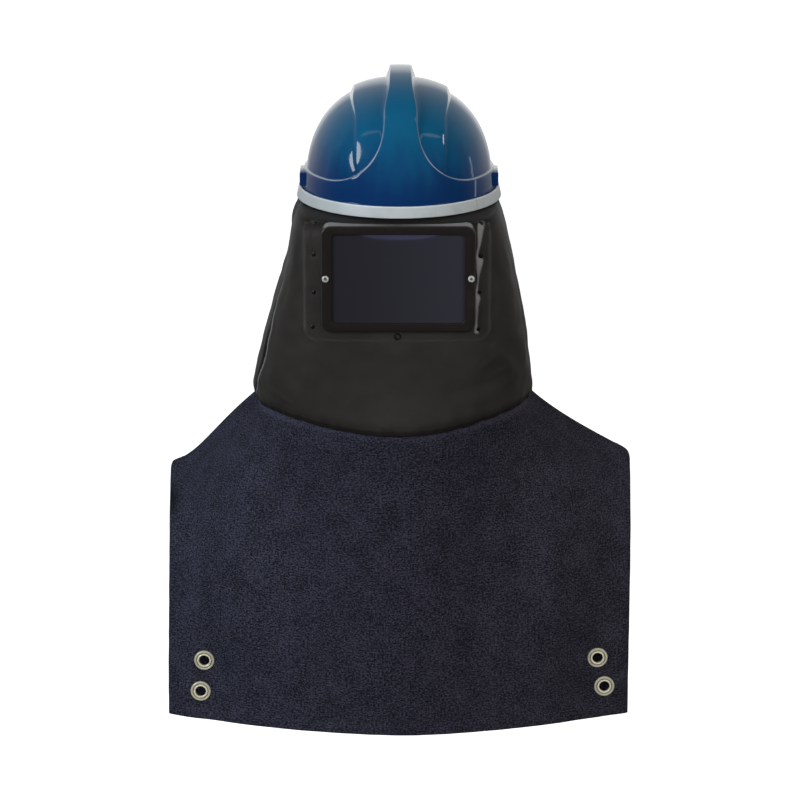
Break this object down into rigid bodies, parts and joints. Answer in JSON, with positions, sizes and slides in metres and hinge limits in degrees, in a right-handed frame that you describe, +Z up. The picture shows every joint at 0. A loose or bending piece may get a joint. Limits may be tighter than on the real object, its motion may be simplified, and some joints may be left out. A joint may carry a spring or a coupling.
{
  "type": "supplied-air hood",
  "caption": "Hard hat with a clamped rim band, a coated fabric hood with a dark lens window, a sewn denim cape with eyelets, and an air inlet at the nape.",
  "frame": {"origin": "centre of the hat's rim, level with the top of the rim band, where the head holds the hat", "axes": "+Z up along the wearer's head, -Y the way the wearer looks, +X to the viewer's right"},
  "size_m": [0.5069, 0.3491, 0.7306],
  "materials": {
    "hat_plastic": "glossy moulded plastic",
    "band_plastic": "satin flexible plastic",
    "coated_fabric": "semi-gloss coated fabric",
    "black_plastic": "satin moulded plastic",
    "dark_glass": "polished, deeply tinted",
    "zinc": "zinc plated",
    "denim": "indigo twill",
    "brass": "antique, rolled"
  },
  "bodies": {
    "root": {"hat_shell": "hat_plastic", "rim_band": "band_plastic", "hood": "coated_fabric", "window_plate": "black_plastic", "lens_frame": "black_plastic", "lens": "dark_glass", "screw_left": "zinc", "screw_right": "zinc", "rivet_left_1": "black_plastic", "rivet_left_2": "black_plastic", "rivet_left_3": "black_plastic", "rivet_left_4": "black_plastic", "rivet_right_1": "black_plastic", "rivet_right_2": "black_plastic", "rivet_right_3": "black_plastic", "rivet_right_4": "black_plastic", "rivet_bottom": "black_plastic", "cape_front": "denim", "cape_back": "denim", "eyelet_left_upper": "brass", "eyelet_left_lower": "brass", "eyelet_right_upper": "brass", "eyelet_right_lower": "brass", "air_inlet": "black_plastic"}
  },
  "joints": []
}
